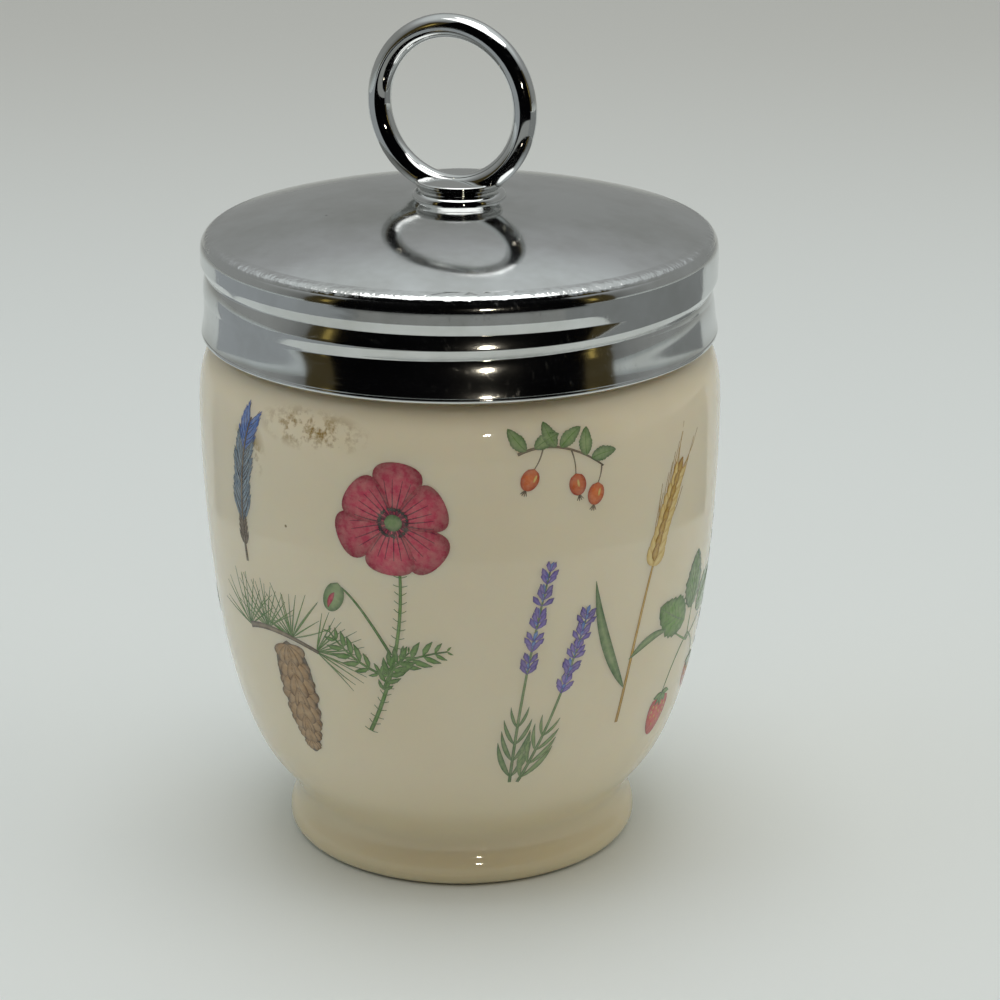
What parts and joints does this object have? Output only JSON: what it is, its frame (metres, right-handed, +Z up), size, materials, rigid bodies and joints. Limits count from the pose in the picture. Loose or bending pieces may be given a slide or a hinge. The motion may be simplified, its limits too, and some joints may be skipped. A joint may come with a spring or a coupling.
{
  "type": "egg coddler",
  "caption": "Lidded porcelain egg coddler: bellied cup on a foot ring, with a threaded neck and a steel screw lid that carries a wire finger ring.",
  "frame": {"origin": "centre of the circle that the foot ring stands on", "axes": "+Z up along the cup's axis; the finger ring lies in the XZ plane"},
  "size_m": [0.0664, 0.0664, 0.1075],
  "materials": {
    "porcelain": "glossy cream glaze",
    "lid_steel": "bright plated steel, lightly worn",
    "fittings": "bright plated steel",
    "washer_steel": "plain steel"
  },
  "bodies": {
    "cup": {"cup": "porcelain"},
    "lid_rise": {"backing_washer": "washer_steel"},
    "lid": {"lid_shell": "lid_steel", "boss": "fittings", "finger_ring": "fittings"}
  },
  "joints": [
    {"name": "lid_lift", "type": "slide", "parent": "cup", "child": "lid_rise", "axis": [0, 0, 1], "range_m": [0, 0.0141]},
    {"name": "lid_turn", "type": "hinge", "parent": "lid_rise", "child": "lid", "pos_m": [0, 0, 0.0721], "axis": [0, 0, 1], "range_deg": [0, 1260]}
  ],
  "couplings": [
    {"joint": "lid_lift", "follows": "lid_turn", "m_per_rad": 0.00063662}
  ]
}
